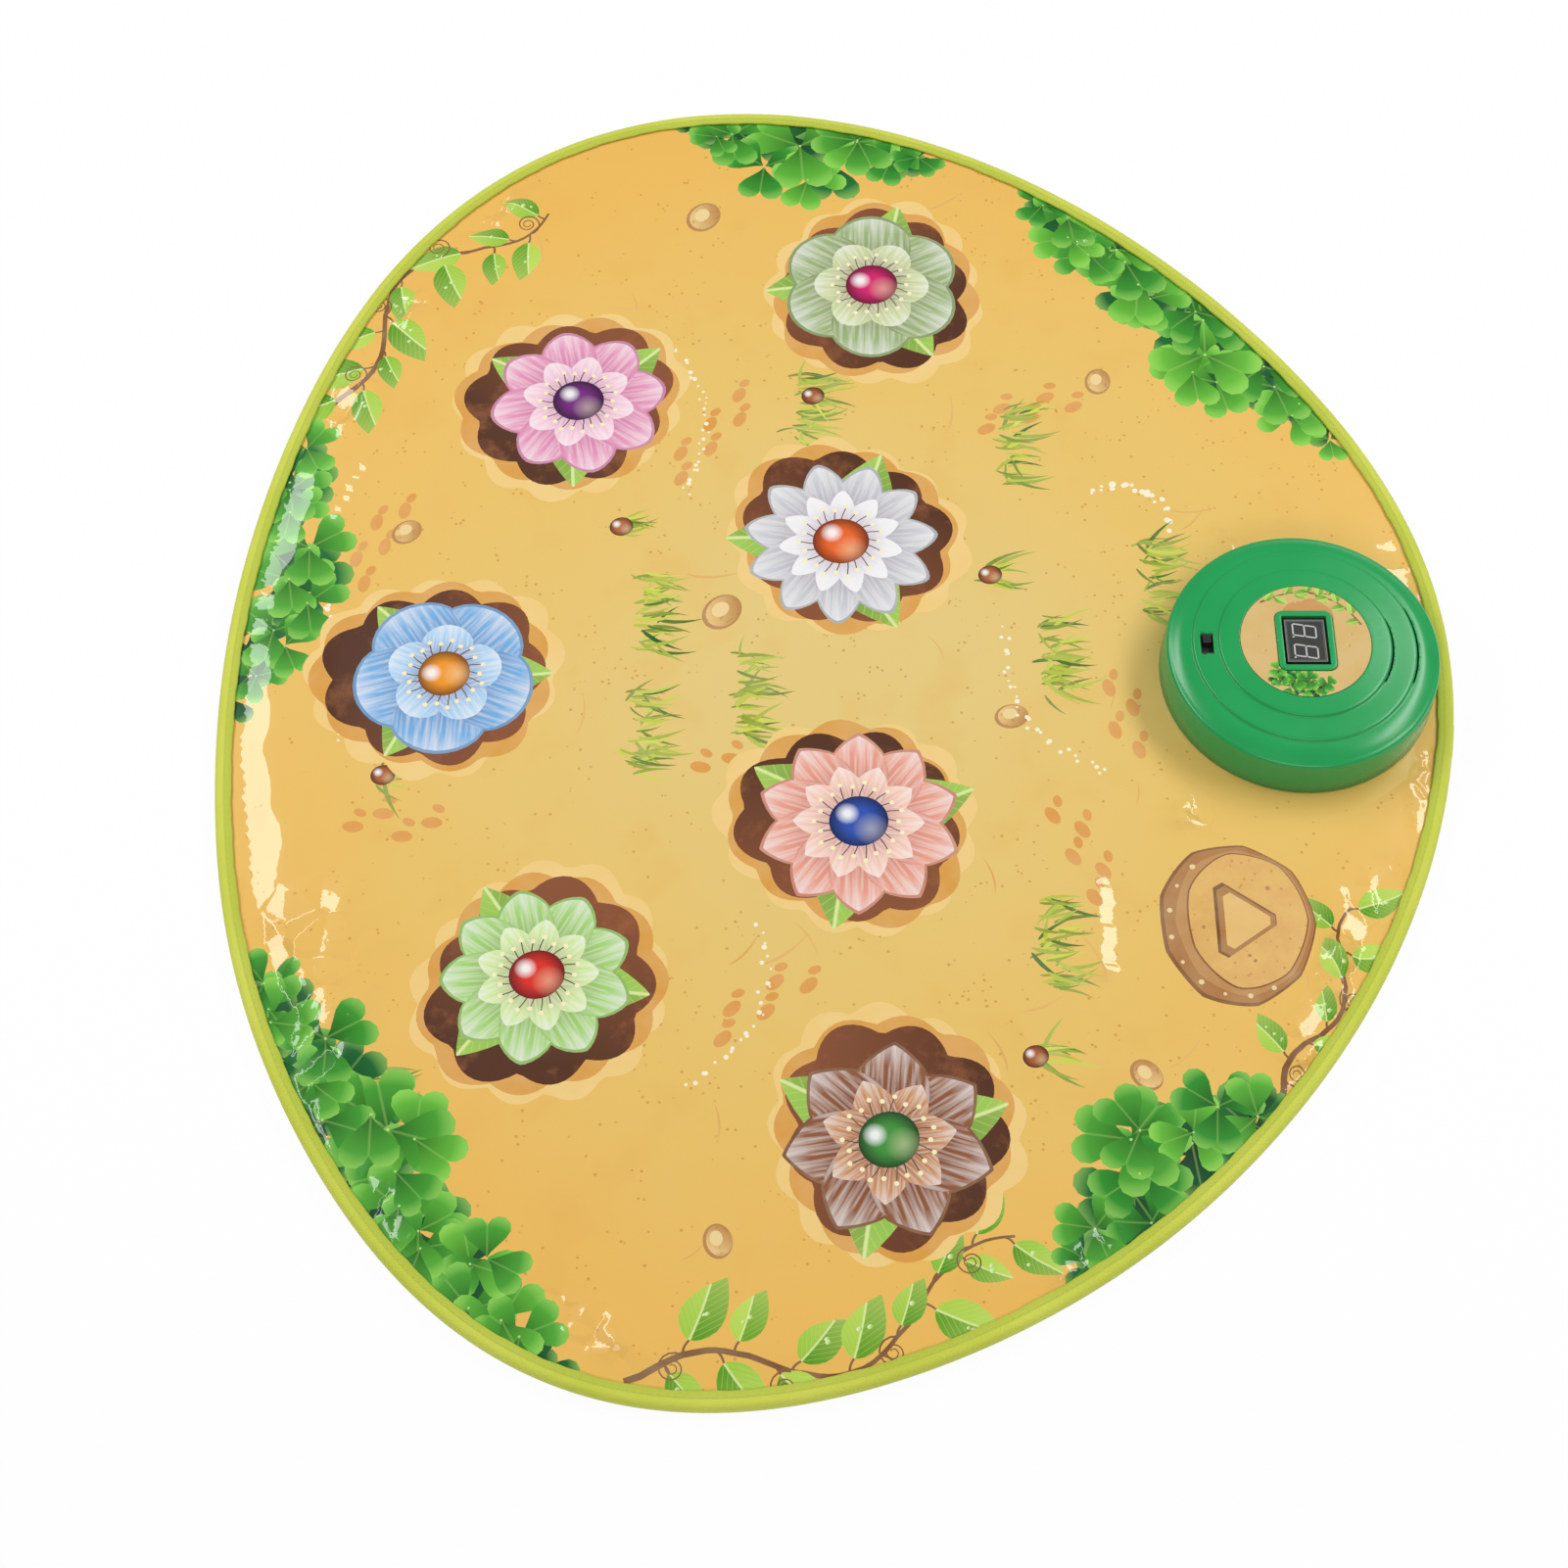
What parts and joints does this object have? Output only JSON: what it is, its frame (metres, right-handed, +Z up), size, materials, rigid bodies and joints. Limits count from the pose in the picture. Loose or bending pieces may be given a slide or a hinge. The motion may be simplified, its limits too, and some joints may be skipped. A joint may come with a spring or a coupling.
{
  "type": "pounding game mat",
  "caption": "Padded floor play mat with round press targets, a smaller select target and a round score unit at its edge with a digital display, power switch and battery door.",
  "frame": {"origin": "middle of the footprint, on the floor under the mat", "axes": "+X towards the score unit, +Y across the mat along its longest side, +Z up"},
  "size_m": [0.657, 0.8, 0.0411],
  "materials": {
    "printed_sheet": "glossy printed vinyl, sandy yellow ground",
    "select_print": "glossy printed vinyl, tan",
    "lime_binding": "lime green woven tape, folded and stitched",
    "grey_backing": "grey felted backing",
    "white_foam": "soft white spacer foam",
    "milky_film": "thin milky plastic",
    "carbon_ink": "black carbon ink on film",
    "tail_film": "clear film with silver tracks",
    "green_shell": "satin moulded plastic, leaf green",
    "printed_label": "printed label, sandy",
    "display_black": "black display face",
    "black_foam": "matte black",
    "board_green": "green lacquered board",
    "plated_steel": "plated steel",
    "black_knob": "matte black",
    "speaker_paper": "matte black paper",
    "cell_jacket": "plain grey-blue jacket",
    "red_lead": "red insulation",
    "black_lead": "black insulation"
  },
  "bodies": {
    "mat": {"edge_binding": "lime_binding", "top_sheet": "printed_sheet", "upper_circuit_film": "milky_film", "foam_spacer": "white_foam", "lower_circuit_film": "milky_film", "backing_sheet": "grey_backing", "circuit_tail": "tail_film", "unit_top_shell": "green_shell", "unit_base_shell": "green_shell", "label_disc": "printed_label", "display_module": "display_black", "display_gasket": "black_foam", "main_board": "board_green", "control_chip": "black_foam", "switch_body": "plated_steel", "speaker_frame": "plated_steel", "speaker_cone": "speaker_paper", "speaker_magnet": "plated_steel", "speaker_clamp": "milky_film", "battery_1": "cell_jacket", "battery_2": "cell_jacket", "battery_3": "cell_jacket", "battery_spring_1": "plated_steel", "battery_spring_2": "plated_steel", "battery_spring_3": "plated_steel", "battery_plate_positive": "plated_steel", "battery_plate_negative": "plated_steel", "battery_link_1": "plated_steel", "battery_link_2": "plated_steel", "case_screw_1": "plated_steel", "case_screw_2": "plated_steel", "case_screw_3": "plated_steel", "case_screw_4": "plated_steel", "tail_clamp_bar": "milky_film", "tail_screw_1": "plated_steel", "tail_screw_2": "plated_steel", "speaker_lead_red": "red_lead", "speaker_lead_black": "black_lead", "battery_lead_red": "red_lead", "battery_lead_black": "black_lead"},
    "target_1": {"target_1_face": "printed_sheet", "target_1_contact": "carbon_ink"},
    "target_2": {"target_2_face": "printed_sheet", "target_2_contact": "carbon_ink"},
    "target_3": {"target_3_face": "printed_sheet", "target_3_contact": "carbon_ink"},
    "target_4": {"target_4_face": "printed_sheet", "target_4_contact": "carbon_ink"},
    "target_5": {"target_5_face": "printed_sheet", "target_5_contact": "carbon_ink"},
    "target_6": {"target_6_face": "printed_sheet", "target_6_contact": "carbon_ink"},
    "target_7": {"target_7_face": "printed_sheet", "target_7_contact": "carbon_ink"},
    "select": {"select_face": "select_print", "select_contact": "carbon_ink"},
    "power_knob": {"switch_knob": "black_knob"},
    "battery_door": {"battery_door": "green_shell", "battery_door_screw": "plated_steel"}
  },
  "joints": [
    {"name": "target_1_press", "type": "slide", "parent": "mat", "child": "target_1", "axis": [0, 0, -1], "range_m": [0, 0.0023], "stiffness_N_per_m": 1200},
    {"name": "target_2_press", "type": "slide", "parent": "mat", "child": "target_2", "axis": [0, 0, -1], "range_m": [0, 0.0023], "stiffness_N_per_m": 1200},
    {"name": "target_3_press", "type": "slide", "parent": "mat", "child": "target_3", "axis": [0, 0, -1], "range_m": [0, 0.0023], "stiffness_N_per_m": 1200},
    {"name": "target_4_press", "type": "slide", "parent": "mat", "child": "target_4", "axis": [0, 0, -1], "range_m": [0, 0.0023], "stiffness_N_per_m": 1200},
    {"name": "target_5_press", "type": "slide", "parent": "mat", "child": "target_5", "axis": [0, 0, -1], "range_m": [0, 0.0023], "stiffness_N_per_m": 1200},
    {"name": "target_6_press", "type": "slide", "parent": "mat", "child": "target_6", "axis": [0, 0, -1], "range_m": [0, 0.0023], "stiffness_N_per_m": 1200},
    {"name": "target_7_press", "type": "slide", "parent": "mat", "child": "target_7", "axis": [0, 0, -1], "range_m": [0, 0.0023], "stiffness_N_per_m": 1200},
    {"name": "select_press", "type": "slide", "parent": "mat", "child": "select", "axis": [0, 0, -1], "range_m": [0, 0.0023], "stiffness_N_per_m": 1200},
    {"name": "power_slide", "type": "slide", "parent": "mat", "child": "power_knob", "axis": [0, -1, 0], "range_m": [0, 0.0056]},
    {"name": "battery_door_lift", "type": "slide", "parent": "mat", "child": "battery_door", "axis": [0, 0, -1], "range_m": [0, 0.03]}
  ]
}
